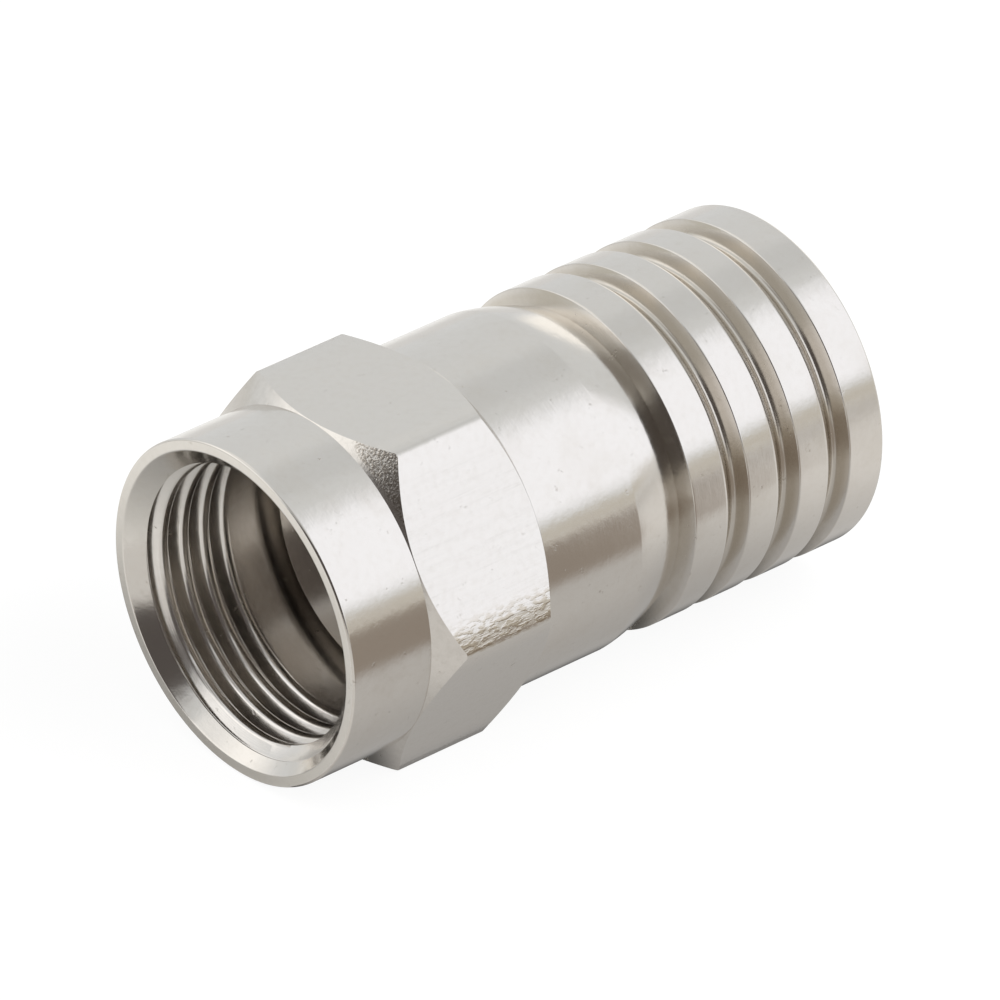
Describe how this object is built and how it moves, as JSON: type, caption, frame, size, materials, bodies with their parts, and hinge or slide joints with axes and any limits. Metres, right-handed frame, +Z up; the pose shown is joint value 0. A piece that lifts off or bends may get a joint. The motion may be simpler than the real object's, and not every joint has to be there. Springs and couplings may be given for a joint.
{
  "type": "f connector",
  "caption": "Crimp-on F-type coaxial plug: a threaded hexagonal coupling nut that turns freely on a flanged inner post, with a ringed crimp sleeve behind it.",
  "frame": {"origin": "centre of the inner post's front face, on the axis: the plane on which a mating port seats", "axes": "+X along the axis out of the nut's mouth, -X towards the cable; +Z up, square to the hexagon flats above and below; +Y towards a hexagon corner"},
  "size_m": [0.0209, 0.0128, 0.011],
  "materials": {
    "nut_nickel": "nickel-plated, milled flats and turned nose, satin",
    "post_nickel": "nickel-plated, turned, satin",
    "sleeve_nickel": "nickel-plated, turned, satin"
  },
  "bodies": {
    "connector_body": {"inner_post": "post_nickel", "crimp_sleeve": "sleeve_nickel"},
    "nut": {"coupling_nut": "nut_nickel"}
  },
  "joints": [
    {"name": "nut_spin", "type": "hinge", "parent": "connector_body", "child": "nut", "pos_m": [0, 0, 0], "axis": [1, 0, 0], "continuous": true}
  ]
}
